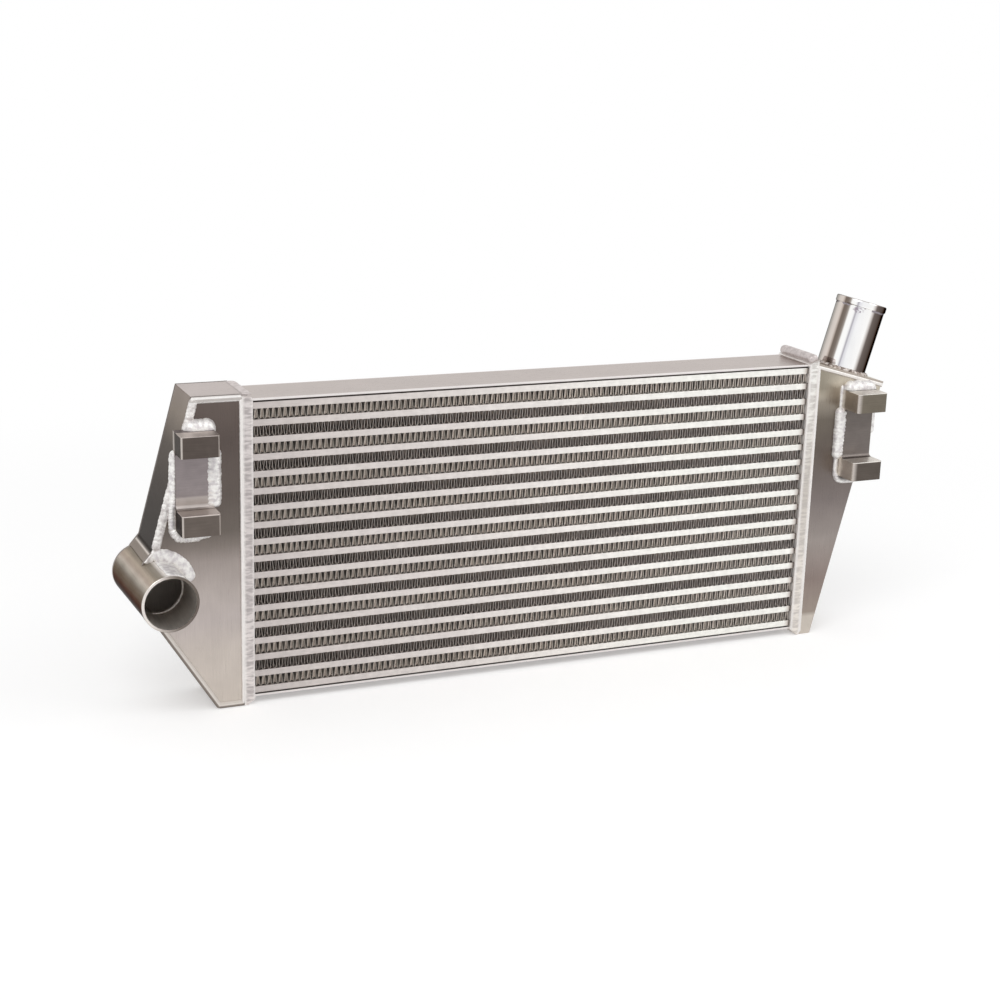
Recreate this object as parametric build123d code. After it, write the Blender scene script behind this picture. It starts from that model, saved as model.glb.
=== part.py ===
from build123d import *
from math import atan2, cos, radians, sin, tan
import os

# Air-to-air intercooler: a brazed core between two welded sheet tanks.
# Drawn with X along the core, Y from its front face backwards and Z up from
# the floor that the tanks stand on. All lengths are millimetres, angles degrees.

# Core
core_length = 584.0
core_depth = 56.0
core_lift = 6.8
passage_count = 18
passage_height = 6.0
passage_sheet = 0.8
passage_bar = 5.0
web_count = 3
web_thickness = 0.8
cover_thickness = 3.5
cover_step = 1.5
cover_setback = 2.5

# Corrugated air fins
fin_height = 10.0
fin_waves = 24
fin_thickness = 0.6
fin_setback = 0.8
fin_end_gap = 0.8

# Header plates at the ends of the core
header_thickness = 10.5
header_proud = 3.2
header_above_core = 5.0
header_edge = 3.0
header_rounding = 1.4

# Sheet metal of the tanks
sheet = 3.0
tank_proud = 2.0
seam_width = 6.0
seam_height = 1.2
seam_slope = 0.8

# Left tank, measured outwards from its header plate and up from the floor
left_top_width = 45.5
left_bend_out = 82.5
left_bend_above_inlet = 35.0
left_leg_length = 13.0
left_leg_lean = 40.3
left_floor_width = 25.5
left_floor_lean = 32.6
floor_bend = 6.0

# Right tank, measured the same way
right_top_drop = 4.1
right_top_slope = 16.0
right_top_width = 81.0
right_floor_width = 15.7
right_fold = 3.5

# Inlet tube, low on the left tank, with its mouth to the front
inlet_outer = 51.0
inlet_wall = 2.0
inlet_out = 80.0
inlet_height = 123.5
inlet_turn = 2.0
inlet_reach = 48.0
inlet_bead_height = 0.5
inlet_bead_length = 5.0
inlet_cut_back = 5.0

# Outlet tube, on the sloping top of the right tank, nearly as wide as its inside
outlet_wall = 2.0
outlet_side_gap = 1.5
outlet_from_corner = 34.0
outlet_reach = 73.5
outlet_bead_height = 1.0
outlet_bead_length = 7.0
bead_slope = 0.8

# Brackets, one on each tank's front
bracket_width = 35.0
bracket_reach = 30.0
bracket_jaw = 19.5
bracket_gap = 52.0
bracket_web = 6.0
bracket_corner = 4.0
bracket_rounding = 2.5
left_bracket_out = 45.0
left_bracket_clearance = 21.1
right_bracket_from_corner = 32.0
right_bracket_drop = 78.2

# Weld beads
side_bead = 9.0
crown_bead = 11.0
foot_bead = 6.0
bead_inset = 6.0
bead_taper = 0.6
bead_sides = 8
inlet_ring = 7.0
outlet_ring = 4.0
ring_crest = 1.0

# Sizes that follow
row_pitch = passage_height + fin_height
core_height = passage_count * row_pitch - fin_height + 2 * cover_thickness
core_top = core_lift + core_height
first_passage = core_lift + cover_thickness
header_top = core_top + header_above_core
tank_front = -tank_proud
tank_back = core_depth + tank_proud
header_front = -header_proud
header_back = core_depth + header_proud
left_face = -header_thickness
right_face = core_length + header_thickness
left_bend_height = inlet_height + left_bend_above_inlet
outlet_outer = tank_back - tank_front - 2 * (sheet + outlet_side_gap)
outlet_out = right_top_width - outlet_from_corner
half_bracket = bracket_gap / 2 + bracket_jaw
left_bracket_foot = inlet_height + inlet_outer / 2 + inlet_ring + left_bracket_clearance
left_bracket_height = left_bracket_foot + half_bracket
right_bracket_out = right_top_width - right_bracket_from_corner
right_bracket_height = header_top - right_bracket_drop
long_cut = 2 * (core_length + header_top)

upwards = (Align.CENTER, Align.CENTER, Align.MIN)


def block(x0, x1, y0, y1, z0, z1):
    """Box between two corners."""
    return Pos(x0, y0, z0) * Box(x1 - x0, y1 - y0, z1 - z0, align=Align.MIN)


def upright(outline, y0, y1):
    """Side outline, drawn as X and Z, given its thickness from y0 back to y1."""
    face = Plane.XZ.offset(-y0) * make_face(outline)
    return extrude(face, -(y1 - y0))


def strip(points, side, width, bend=0.0):
    """Closed outline of a strip of sheet that follows the points on one side."""
    line = FilletPolyline(*points, radius=bend) if bend else Polyline(*points)
    return line.wire().offset_2d(width, kind=Kind.INTERSECTION, side=side, closed=True)


# Core


def charge_tube(row):
    """One charge-air passage: two sheets, a bar front and back, webs between them."""
    z0 = first_passage + row * row_pitch
    x0, x1 = left_face, right_face
    tube = block(x0, x1, 0, core_depth, z0, z0 + passage_height)
    inside = core_depth - 2 * passage_bar
    channel = (inside - web_count * web_thickness) / (web_count + 1)
    for i in range(web_count + 1):
        y0 = passage_bar + i * (channel + web_thickness)
        z1 = z0 + passage_height - passage_sheet
        tube -= block(x0, x1, y0, y0 + channel, z0 + passage_sheet, z1)
    return tube


def air_fin(row):
    """Sheet folded to and fro between two passages, its folds on both of them."""
    z0 = first_passage + passage_height + row * row_pitch
    half = fin_thickness / 2
    low, high = z0 + half, z0 + fin_height - half
    x0 = fin_end_gap
    half_wave = (core_length - 2 * fin_end_gap) / (2 * fin_waves)
    folds = [(x0 + i * half_wave, high if i % 2 else low) for i in range(2 * fin_waves + 1)]
    upper = [(x, z + half) for x, z in folds]
    lower = [(x, z - half) for x, z in reversed(folds)]
    return upright(Polyline(*upper, *lower, close=True), fin_setback, core_depth - fin_setback)


def cover_plate(outer, inner):
    """Flat plate on the outermost passage, stepped back where it meets it."""
    step = inner + cover_step if outer > inner else inner - cover_step
    z0, z1 = min(outer, step), max(outer, step)
    plate = block(0, core_length, 0, core_depth, z0, z1)
    z0, z1 = min(inner, step), max(inner, step)
    return plate + block(0, core_length, cover_setback, core_depth - cover_setback, z0, z1)


def left_header_plate():
    """Plate that holds one end of every passage, sloped off down to the core."""
    out = -header_thickness
    profile = Polyline(
        (out, 0),
        (out + header_edge, 0),
        (0, core_lift),
        (0, core_top),
        (out + header_edge, header_top),
        (out, header_top),
        close=True,
    )
    plate = upright(profile, header_front, header_back)
    inner_face = plate.faces().sort_by(Axis.X)[-1]
    plate = fillet(inner_face.edges().filter_by(Axis.Z), header_rounding)
    for row in range(passage_count):
        z0 = first_passage + row * row_pitch
        plate -= block(out, 0, 0, core_depth, z0, z0 + passage_height)
    return plate


def right_header_plate():
    return mirror(left_header_plate(), Plane.YZ.offset(core_length / 2))


# Tubes


def inlet_plane():
    """Plane at the inlet's mouth, its Z along the tube into the tank."""
    turn = radians(inlet_turn)
    along = Vector(-sin(turn), cos(turn), 0)
    centre = Vector(left_face - inlet_out, tank_front, inlet_height)
    return Plane(centre - along * (inlet_reach / cos(turn)), x_dir=(0, 0, 1), z_dir=along)


def inlet_rod(radius):
    """Solid of the tube's circle, from its mouth to past the tank's back."""
    return inlet_plane() * Cylinder(radius, long_cut / 2, align=upwards)


def beaded_tube(outer, wall, length, bead_height, bead_length):
    """Tube along Z with a raised bead for the hose at its mouth, which is at 0."""
    radius = outer / 2
    tube = Cylinder(radius, length, align=upwards)
    bead = Cylinder(radius + bead_height, bead_length, align=upwards)
    bead = chamfer(bead.edges().filter_by(GeomType.CIRCLE), bead_height * bead_slope)
    return tube + bead - Cylinder(radius - wall, length, align=upwards)


def inlet_tube():
    """Tube along the tank's outer edge, with its side cut away inside the tank."""
    length = long_cut / 2
    tube = inlet_plane() * beaded_tube(
        inlet_outer, inlet_wall, length, inlet_bead_height, inlet_bead_length
    )
    behind = block(-long_cut, long_cut, tank_back - sheet, long_cut, -long_cut, long_cut)
    x0 = left_face - inlet_out - inlet_cut_back
    window = block(x0, 0, tank_front + sheet, long_cut, 0, header_top)
    return tube - behind - window


def outlet_plane():
    """Plane on the sloping top plate, its Z along the outlet tube."""
    slope = radians(right_top_slope)
    z = header_top - right_top_drop - outlet_out * tan(slope)
    centre = (right_face + outlet_out, core_depth / 2, z)
    return Plane(centre, x_dir=(cos(slope), 0, -sin(slope)), z_dir=(sin(slope), 0, cos(slope)))


def outlet_tube():
    """Straight tube that stands square on the sloping top, through its plate."""
    length = outlet_reach + sheet
    tube = beaded_tube(outlet_outer, outlet_wall, length, outlet_bead_height, outlet_bead_length)
    mouth_up = Pos(0, 0, outlet_reach) * Rot(180, 0, 0)
    return outlet_plane() * mouth_up * tube


# Left tank


def left_outline():
    """Corners of the left tank's side view, from its top to its floor."""
    top = header_top
    corner = (left_face - left_top_width, top)
    bend = (left_face - left_bend_out, left_bend_height)
    lean = radians(left_leg_lean)
    leg_end = (bend[0] - left_leg_length * sin(lean), bend[1] - left_leg_length * cos(lean))
    floor_corner = (left_face - left_floor_width, 0)
    landing_x = floor_corner[0] - inlet_height * tan(radians(left_floor_lean))
    return corner, bend, leg_end, (landing_x, inlet_height), floor_corner


def left_side_plate(y0, y1):
    """Front or back plate, without the place of the tube."""
    corners = left_outline()
    outline = Polyline((left_face, header_top), *corners, (left_face, 0), close=True)
    face = make_face(outline)
    turn = face.vertices().sort_by_distance(Vector(*corners[-1]))[0]
    face = fillet(turn, floor_bend)
    return extrude(Plane.XZ.offset(-y0) * face, -(y1 - y0))


def left_front_plate():
    return left_side_plate(tank_front, tank_front + sheet) - inlet_rod(inlet_outer / 2)


def left_back_plate():
    """Back plate, which also closes the end of the inlet tube."""
    y0, y1 = tank_back - sheet, tank_back
    slab = block(-long_cut, long_cut, y0, y1, -long_cut, long_cut)
    return left_side_plate(y0, y1) + (inlet_rod(inlet_outer / 2) & slab)


def left_top_plate():
    x0 = left_face - left_top_width
    y0, y1 = tank_front + sheet, tank_back - sheet
    return block(x0, left_face, y0, y1, header_top - sheet, header_top)


def left_outer_wall():
    """Slanted wall with a short leg folded over to land on the tube."""
    corner, bend, leg_end, _, _ = left_outline()
    outline = strip((corner, bend, leg_end), Side.LEFT, sheet)
    wall = upright(outline, tank_front + sheet, tank_back - sheet)
    return wall - left_top_plate() - inlet_rod(inlet_outer / 2)


def left_lower_wall():
    """Wall from the tube down, folded round to be the tank's floor."""
    _, _, _, landing, floor_corner = left_outline()
    points = (landing, floor_corner, (left_face, 0))
    outline = strip(points, Side.LEFT, sheet, floor_bend)
    wall = upright(outline, tank_front + sheet, tank_back - sheet)
    past_tube = block(-long_cut, 0, -long_cut, long_cut, inlet_height, long_cut)
    wall = wall - inlet_rod(inlet_outer / 2) - past_tube
    return wall.solids().sort_by(Axis.Z)[0]


# Right tank


def right_corners():
    """Corners of the right tank's side view: top inner, top outer and floor outer."""
    top = (right_face, header_top - right_top_drop)
    fall = right_top_width * tan(radians(right_top_slope))
    corner = (right_face + right_top_width, top[1] - fall)
    return top, corner, (right_face + right_floor_width, 0)


def right_solid(y0, y1):
    top, corner, foot = right_corners()
    return upright(Polyline(top, corner, foot, (right_face, 0), close=True), y0, y1)


def right_inside():
    """Room between the front, the back and the outer wall, right up to the top."""
    top, corner, foot = right_corners()
    across = sheet / cos(atan2(corner[0] - foot[0], corner[1]))
    rise = across * tan(radians(right_top_slope))
    inner_corner = (corner[0] - across, corner[1] + rise)
    outline = Polyline(top, inner_corner, (foot[0] - across, 0), (right_face, 0), close=True)
    return upright(outline, tank_front + sheet, tank_back - sheet)


def right_shell():
    """Front, outer wall and back as one folded sheet, open on top and below."""
    _, corner, foot = right_corners()
    body = right_solid(tank_front, tank_back)
    outer_edge = Axis((foot[0], 0, foot[1]), (corner[0] - foot[0], 0, corner[1] - foot[1]))
    return fillet(body.edges().filter_by(outer_edge), right_fold) - right_inside()


def right_top_plate():
    """Sloping plate let in between the shell's walls, with the outlet tube's hole."""
    thickness = sheet / cos(radians(right_top_slope))
    plate = right_inside() - Pos(0, 0, -thickness) * right_inside()
    return plate - outlet_plane() * Cylinder(outlet_outer / 2, long_cut)


def right_floor_plate():
    return right_inside() & block(right_face, long_cut, tank_front, tank_back, 0, sheet)


# Brackets


def bracket(x_middle, z_middle):
    """C-shaped bracket: a web against the tank and a jaw at each end of it."""
    half_gap = bracket_gap / 2
    front = tank_front - bracket_reach
    web = tank_front - bracket_web
    profile = Polyline(
        (tank_front, z_middle - half_bracket),
        (front, z_middle - half_bracket),
        (front, z_middle - half_gap),
        (web, z_middle - half_gap),
        (web, z_middle + half_gap),
        (front, z_middle + half_gap),
        (front, z_middle + half_bracket),
        (tank_front, z_middle + half_bracket),
        close=True,
    )
    face = make_face(profile)
    _, inner_corners, _ = face.vertices().group_by(Axis.X)
    face = fillet(inner_corners, bracket_corner)
    part = extrude(Plane.YZ.offset(x_middle - bracket_width / 2) * face, bracket_width)
    front_edges = part.edges().filter_by(Axis.Z).group_by(Axis.Y)[0]
    return fillet(front_edges, bracket_rounding)


def left_bracket():
    return bracket(left_face - left_bracket_out, left_bracket_height)


def right_bracket():
    return bracket(right_face + right_bracket_out, right_bracket_height)


# Weld beads


def bead(start, end, radius):
    """Fat bead along a straight seam, drawn in at both ends."""
    a, b = Vector(*start), Vector(*end)
    taper = radius * bead_taper
    half_length = (b - a).length / 2 + taper
    rod = extrude(RegularPolygon(radius, bead_sides), half_length, both=True)
    rod = chamfer(rod.faces().filter_by(Axis.Z).edges(), taper)
    return Plane((a + b) / 2, z_dir=b - a) * rod


def bracket_beads(x_middle, z_middle, on_plate, seams):
    """Beads down both sides of the web, over the top jaw and under the lower one."""
    half_width = bracket_width / 2
    half_gap = bracket_gap / 2 - bead_inset
    y = tank_front
    welds = None
    for x in (x_middle - half_width, x_middle + half_width):
        side = bead((x, y, z_middle - half_gap), (x, y, z_middle + half_gap), side_bead)
        welds = side if welds is None else welds + side
    x0, x1 = x_middle - half_width + crown_bead, x_middle + half_width - bead_inset
    z = z_middle + half_bracket
    welds += bead((x0, y, z), (x1, y, z), crown_bead)
    z = z_middle - half_bracket
    x0, x1 = x_middle - half_width, x_middle + half_width - bead_inset
    welds += bead((x0, y, z), (x1, y, z), foot_bead)
    welds += bead((x0, y, z), (x0, y, z + bracket_jaw), foot_bead)
    return (welds & on_plate) - bracket(x_middle, z_middle) - seams


def left_bracket_welds():
    on_plate = left_side_plate(tank_front - bracket_reach, tank_front)
    x_middle = left_face - left_bracket_out
    return bracket_beads(x_middle, left_bracket_height, on_plate, left_seams())


def right_bracket_welds():
    on_plate = right_solid(tank_front - bracket_reach, tank_front)
    x_middle = right_face + right_bracket_out
    return bracket_beads(x_middle, right_bracket_height, on_plate, right_seams())


def inlet_weld():
    """Fillet weld round the tube where it comes out of the front plate."""
    radius = inlet_outer / 2
    centre = (left_face - inlet_out, tank_front, inlet_height)
    ring = Plane(centre, x_dir=(1, 0, 0), z_dir=(0, -1, 0))
    cone = ring * Cone(radius + inlet_ring, radius + ring_crest, inlet_ring, align=upwards)
    on_plate = left_side_plate(tank_front - inlet_ring, tank_front)
    return (cone & on_plate) - inlet_rod(radius) - left_seams()


def outlet_weld():
    """Fillet weld round the foot of the outlet tube."""
    radius = outlet_outer / 2
    cone = Cone(radius + outlet_ring, radius + ring_crest, outlet_ring, align=upwards)
    return outlet_plane() * (cone - Cylinder(radius, long_cut))


def seam(points, side, bend=0.0):
    """Low bead along the edge of a tank's side plates, at the front and the back."""
    outline = strip(points, side, seam_width, bend)
    front = upright(outline, tank_front - seam_height, tank_front)
    front = chamfer(front.faces().sort_by(Axis.Y)[0].edges(), seam_height * seam_slope)
    return front + mirror(front, Plane.XZ.offset(-core_depth / 2))


def left_seams():
    corner, bend, leg_end, landing, floor_corner = left_outline()
    upper = seam(((left_face, header_top), corner, bend, leg_end), Side.LEFT)
    lower = seam((landing, floor_corner, (left_face, 0)), Side.LEFT, floor_bend)
    above = block(-long_cut, 0, -long_cut, long_cut, inlet_height, long_cut)
    lower = (lower - above) - inlet_rod(inlet_outer / 2)
    return upper - inlet_rod(inlet_outer / 2) - left_bracket() + lower


def right_seams():
    top, corner, _ = right_corners()
    beads = seam((top, corner), Side.RIGHT) & right_solid(header_front, header_back)
    return beads - right_bracket()


# The parts by name

parts = {
    "core_top_plate": cover_plate(core_top, core_top - cover_thickness),
    "core_bottom_plate": cover_plate(core_lift, core_lift + cover_thickness),
    "left_header_plate": left_header_plate(),
    "right_header_plate": right_header_plate(),
    "left_tank_front_plate": left_front_plate(),
    "left_tank_back_plate": left_back_plate(),
    "left_tank_top_plate": left_top_plate(),
    "left_tank_outer_wall": left_outer_wall(),
    "left_tank_lower_wall": left_lower_wall(),
    "right_tank_shell": right_shell(),
    "right_tank_top_plate": right_top_plate(),
    "right_tank_floor_plate": right_floor_plate(),
    "inlet_tube": inlet_tube(),
    "outlet_tube": outlet_tube(),
    "left_bracket": left_bracket(),
    "right_bracket": right_bracket(),
    "left_tank_seam_welds": left_seams(),
    "right_tank_seam_welds": right_seams(),
    "left_bracket_welds": left_bracket_welds(),
    "right_bracket_welds": right_bracket_welds(),
    "inlet_tube_weld": inlet_weld(),
    "outlet_tube_weld": outlet_weld(),
}
for row in range(passage_count):
    parts[f"charge_tube_{row + 1:02d}"] = charge_tube(row)
for row in range(passage_count - 1):
    parts[f"air_fin_{row + 1:02d}"] = air_fin(row)

# The origin goes to the middle of the whole part's footprint, on the floor.
whole = Compound(children=[Compound(part.solids()) for part in parts.values()])
box = whole.bounding_box()
to_origin = Location((-box.center().X, -box.center().Y, -box.min.Z))

os.makedirs("parts", exist_ok=True)
for name, part in parts.items():
    export_step(part.moved(to_origin), f"parts/{name}.step")
print("origin moved by", to_origin.position)
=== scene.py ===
import math
import random
import bmesh
import bpy
from mathutils import Matrix, Vector


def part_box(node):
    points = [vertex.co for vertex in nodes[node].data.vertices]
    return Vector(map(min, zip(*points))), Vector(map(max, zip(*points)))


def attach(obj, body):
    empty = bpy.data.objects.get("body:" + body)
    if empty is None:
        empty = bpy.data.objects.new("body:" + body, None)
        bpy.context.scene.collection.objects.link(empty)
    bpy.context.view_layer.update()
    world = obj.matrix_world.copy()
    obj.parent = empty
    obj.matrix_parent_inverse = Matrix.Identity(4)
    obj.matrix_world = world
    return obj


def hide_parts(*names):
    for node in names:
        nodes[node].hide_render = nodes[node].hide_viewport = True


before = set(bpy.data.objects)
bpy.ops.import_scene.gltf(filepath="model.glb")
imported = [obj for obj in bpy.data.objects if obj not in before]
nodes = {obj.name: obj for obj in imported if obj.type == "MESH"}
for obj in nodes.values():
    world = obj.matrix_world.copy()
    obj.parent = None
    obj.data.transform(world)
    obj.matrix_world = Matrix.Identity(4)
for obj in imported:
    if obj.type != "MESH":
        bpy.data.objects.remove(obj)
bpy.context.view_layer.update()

random.seed(7)

# Distances are in mm: x along the core from its left end, y backwards from its front
# face, z up from the floor. A finish's colours are as a picker shows them, 0 to 255.
mm = 0.001
coreCorner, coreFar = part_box("core_top_plate")
coreOrigin = Vector((coreCorner[0], coreCorner[1], 0.0))
coreLength = (coreFar[0] - coreCorner[0]) / mm
coreDepth = (coreFar[1] - coreCorner[1]) / mm
front = Vector((0.0, -1.0, 0.0))
above = Vector((0.0, 0.0, 1.0))
sideways = Vector((1.0, 0.0, 0.0))
white = (1.0, 1.0, 1.0, 1.0)


def at(x, y, z):
    return coreOrigin + Vector((x, y, z)) * mm


print("stage: frame loaded")


# Shader pieces that the finishes share

def node(tree, kind, settings=None, inputs=None):
    made = tree.nodes.new("ShaderNode" + kind)
    for key, value in (settings or {}).items():
        setattr(made, key, value)
    for key, value in (inputs or {}).items():
        if isinstance(value, bpy.types.NodeSocket):
            tree.links.new(value, made.inputs[key])
        else:
            made.inputs[key].default_value = value
    return made


def calc(tree, operation, *values):
    return node(tree, "Math", {"operation": operation}, dict(enumerate(values))).outputs[0]


def times(tree, first, second):
    return calc(tree, "MULTIPLY", first, second)


def distanceFrom(tree, value, centre):
    return calc(tree, "ABSOLUTE", calc(tree, "SUBTRACT", value, centre))


def lengthOf(tree, vector):
    return node(tree, "VectorMath", {"operation": "LENGTH"}, {0: vector}).outputs["Value"]


def measuredAlong(tree, place, direction):
    return node(tree, "VectorMath", {"operation": "DOT_PRODUCT"}, {0: place, 1: direction}).outputs["Value"]


def axes(tree, place):
    return node(tree, "SeparateXYZ", None, {"Vector": place}).outputs


def between(tree, value, start, end):  # 0 before start, 1 after end
    return node(tree, "MapRange", None, {"Value": value, "From Min": start, "From Max": end}).outputs[0]


def scaled(tree, share, low, high):  # low where the share is 0, high where it is 1
    return node(tree, "MapRange", None, {"Value": share, "To Min": low, "To Max": high}).outputs[0]


def hump(tree, value, centre, width):  # 1 at the centre, 0 a width away
    return between(tree, distanceFrom(tree, value, centre), width, width * 0.5)


def paint(red, green, blue):
    return tuple(((c / 255 + 0.055) / 1.055) ** 2.4 for c in (red, green, blue)) + (1.0,)


def mix(tree, share, first, second, blend="MIX"):
    settings = {"data_type": "RGBA", "blend_type": blend}
    return node(tree, "Mix", settings, {0: share, 6: first, 7: second}).outputs[2]


def darker(tree, colour, amount):
    return mix(tree, 1.0, colour, (1 - amount,) * 3 + (1.0,), "MULTIPLY")


def ramp(tree, value, stops):  # colour by distance, as (mm, colour)
    low, high = stops[0][0], stops[-1][0]
    colours = node(tree, "ValToRGB", None, {"Fac": between(tree, value, low, high)})
    elements = colours.color_ramp.elements
    while len(elements) < len(stops):
        elements.new(0.5)
    for element, (distance, colour) in zip(elements, stops):
        element.position = (distance - low) / (high - low)
        element.color = paint(*colour)
    return colours.outputs[0]


def newGroup(name, inputs, output):
    tree = bpy.data.node_groups.new(name, "ShaderNodeTree")
    for label, kind in inputs:
        tree.interface.new_socket(label, in_out="INPUT", socket_type="NodeSocket" + kind)
    tree.interface.new_socket(output, in_out="OUTPUT", socket_type="NodeSocketFloat")
    return tree, tree.nodes.new("NodeGroupInput").outputs, tree.nodes.new("NodeGroupOutput").inputs[0]


def makeGrainGroup():  # fine lines left by brushing or rolling
    tree, given, result = newGroup(
        "brushedGrain", (("Vector", "Vector"), ("Stretch", "Vector"), ("Density", "Float")), "Grain")
    pulled = node(tree, "VectorMath", {"operation": "MULTIPLY"}, {0: given["Vector"], 1: given["Stretch"]})
    lines = node(tree, "TexNoise", None, {"Vector": pulled.outputs[0], "Scale": given["Density"],
                                          "Detail": 3.0, "Roughness": 0.65})
    tree.links.new(between(tree, lines.outputs[0], 0.3, 0.7), result)
    return tree


def makePatchGroup():  # soft patches of handling and heat
    tree, given, result = newGroup("softPatches", (("Vector", "Vector"), ("Size", "Float")), "Mask")
    perMm = calc(tree, "DIVIDE", 1.0, given["Size"])
    cloud = node(tree, "TexNoise", None, {"Vector": given["Vector"], "Scale": perMm, "Detail": 2.0, "Roughness": 0.5})
    tree.links.new(between(tree, cloud.outputs[0], 0.35, 0.65), result)
    return tree


grainGroup = makeGrainGroup()
patchGroup = makePatchGroup()


def patchMask(tree, place, size):
    return node(tree, "Group", {"node_tree": patchGroup}, {"Vector": place, "Size": size}).outputs[0]


def speckle(tree, place, size, low, high):
    return between(tree, patchMask(tree, place, size), low, high)


def metal(name, edge=0.65, metallic=1.0):  # edge is how white it turns at a grazing angle
    mat = bpy.data.materials.new(name)
    mat.use_nodes = True
    tree = mat.node_tree
    shader = tree.nodes["Principled BSDF"]
    shader.inputs["Metallic"].default_value = metallic
    shader.inputs["Specular Tint"].default_value = (edge, edge * 0.97, edge * 0.95, 1.0)
    source = node(tree, "TexCoord").outputs["Object"]
    place = node(tree, "Mapping", None, {"Vector": source, "Location": coreOrigin * -1 / mm, "Scale": (1 / mm,) * 3})
    return mat, tree, shader, place.outputs[0]


def dress(tree, shader, place, colour, look):  # grain, patches and soft edges over a colour
    grain = node(tree, "Group", {"node_tree": grainGroup},
                 {"Vector": place, "Stretch": look["stretch"], "Density": look["density"]}).outputs[0]
    patches = patchMask(tree, place, look["patchSize"])
    shaded = mix(tree, grain, darker(tree, colour, look["grainShade"]), colour)
    stained = mix(tree, patches, darker(tree, shaded, look["patchShade"]), shaded)
    tree.links.new(stained, shader.inputs["Base Color"])
    rough = scaled(tree, grain, look["roughness"], look["roughness"] + look["roughSpread"])
    tree.links.new(rough, shader.inputs["Roughness"])
    edge = node(tree, "Bevel", {"samples": 4}, {"Radius": look["edge"] * mm})
    bump = node(tree, "Bump", None, {"Height": grain, "Strength": look["bump"], "Distance": 0.1 * mm,
                                     "Normal": edge.outputs[0]})
    tree.links.new(bump.outputs[0], shader.inputs["Normal"])


# Camera, lamps and floor, the last two in metres

camera = {
    "lens": 65.03,
    "place": (-429.76, -1533.68, 646.54),
    "yaw": 0.4143,
    "pitch": -0.2732,
    "roll": 0.0300,
}
lamps = {
    "keyLight": {"place": (-1.2, -1.4, 2.2), "size": 1.6, "power": 20.0},
    "fillLight": {"place": (1.8, -1.0, 1.6), "size": 1.4, "power": 9.0},
}
lampTarget = (0.0, 0.0, 0.15)
worldFill = 0.62
studioFloor = {
    "size": 14.0,
    "drop": 0.0002,
    "colour": (0.86, 0.86, 0.86, 1.0),
    "glow": 0.30,
    "whiteStarts": 0.45,
    "whiteFull": 1.30,
}


def addCamera():
    yaw, pitch, roll = camera["yaw"], camera["pitch"], camera["roll"]
    forward = Vector((math.sin(yaw) * math.cos(pitch), math.cos(yaw) * math.cos(pitch), math.sin(pitch)))
    right = Vector((math.cos(yaw), -math.sin(yaw), 0.0))
    up = right.cross(forward)
    rightRolled = right * math.cos(roll) + up * math.sin(roll)
    upRolled = up * math.cos(roll) - right * math.sin(roll)
    data = bpy.data.cameras.new("photoCamera")
    data.lens = camera["lens"]
    data.sensor_width = 36.0
    data.clip_end = 50.0
    cam = bpy.data.objects.new("photoCamera", data)
    bpy.context.scene.collection.objects.link(cam)
    turn = Matrix((rightRolled, upRolled, -forward)).transposed()
    cam.matrix_world = Matrix.Translation(at(*camera["place"])) @ turn.to_4x4()
    bpy.context.scene.camera = cam


def addLamp(name, look):
    bpy.ops.object.select_all(action="DESELECT")
    bpy.ops.object.light_add(type="AREA", location=look["place"])
    lamp = bpy.context.object
    lamp.name = name
    lamp.data.shape = "SQUARE"
    lamp.data.size = look["size"]
    lamp.data.energy = look["power"]
    direction = Vector(lampTarget) - Vector(look["place"])
    lamp.rotation_euler = direction.to_track_quat("-Z", "Y").to_euler()


def addWorld():  # white to the camera and in mirrors, dimmer as a light
    world = bpy.data.worlds.new("paleStudio")
    bpy.context.scene.world = world
    world.use_nodes = True
    tree = world.node_tree
    tree.nodes.clear()
    path = node(tree, "LightPath").outputs
    seen = calc(tree, "MAXIMUM", path["Is Camera Ray"], path["Is Glossy Ray"])
    seen = calc(tree, "MAXIMUM", seen, path["Is Transmission Ray"])
    fill = node(tree, "Background", None, {"Color": white, "Strength": worldFill})
    bright = node(tree, "Background", None, {"Color": white, "Strength": 1.0})
    blend = node(tree, "MixShader", None, {0: seen, 1: fill.outputs[0], 2: bright.outputs[0]})
    node(tree, "OutputWorld", None, {"Surface": blend.outputs[0]})


def addFloor():  # pale floor that keeps the shadow and turns white further out
    bpy.ops.object.select_all(action="DESELECT")
    bpy.ops.mesh.primitive_plane_add(size=studioFloor["size"])
    floor = bpy.context.object
    floor.name = "studioFloor"
    floor.location.z = -studioFloor["drop"]
    mat = bpy.data.materials.new("paleFloor")
    mat.use_nodes = True
    tree = mat.node_tree
    tree.nodes.clear()
    path = node(tree, "LightPath").outputs
    seen = calc(tree, "MAXIMUM", path["Is Camera Ray"], path["Is Glossy Ray"])
    diffuse = node(tree, "BsdfDiffuse", None, {"Color": studioFloor["colour"]})
    glow = node(tree, "Emission", None, {"Color": white, "Strength": times(tree, seen, studioFloor["glow"])})
    lit = node(tree, "AddShader", None, {0: diffuse.outputs[0], 1: glow.outputs[0]})
    plain = node(tree, "Emission", None, {"Color": white, "Strength": 1.0})
    far = lengthOf(tree, node(tree, "TexCoord").outputs["Object"])
    fade = node(tree, "MapRange", {"interpolation_type": "SMOOTHSTEP"},
                {"Value": far, "From Min": studioFloor["whiteStarts"], "From Max": studioFloor["whiteFull"]})
    share = times(tree, seen, fade.outputs[0])
    blend = node(tree, "MixShader", None, {0: share, 1: lit.outputs[0], 2: plain.outputs[0]})
    node(tree, "OutputMaterial", None, {"Surface": blend.outputs[0]})
    floor.data.materials.append(mat)


addCamera()
addWorld()
addFloor()
for name, look in lamps.items():
    addLamp(name, look)
bpy.context.scene.view_settings.view_transform = "Standard"
print("stage: camera, light and floor")


# Grain of each kind of metal

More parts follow.
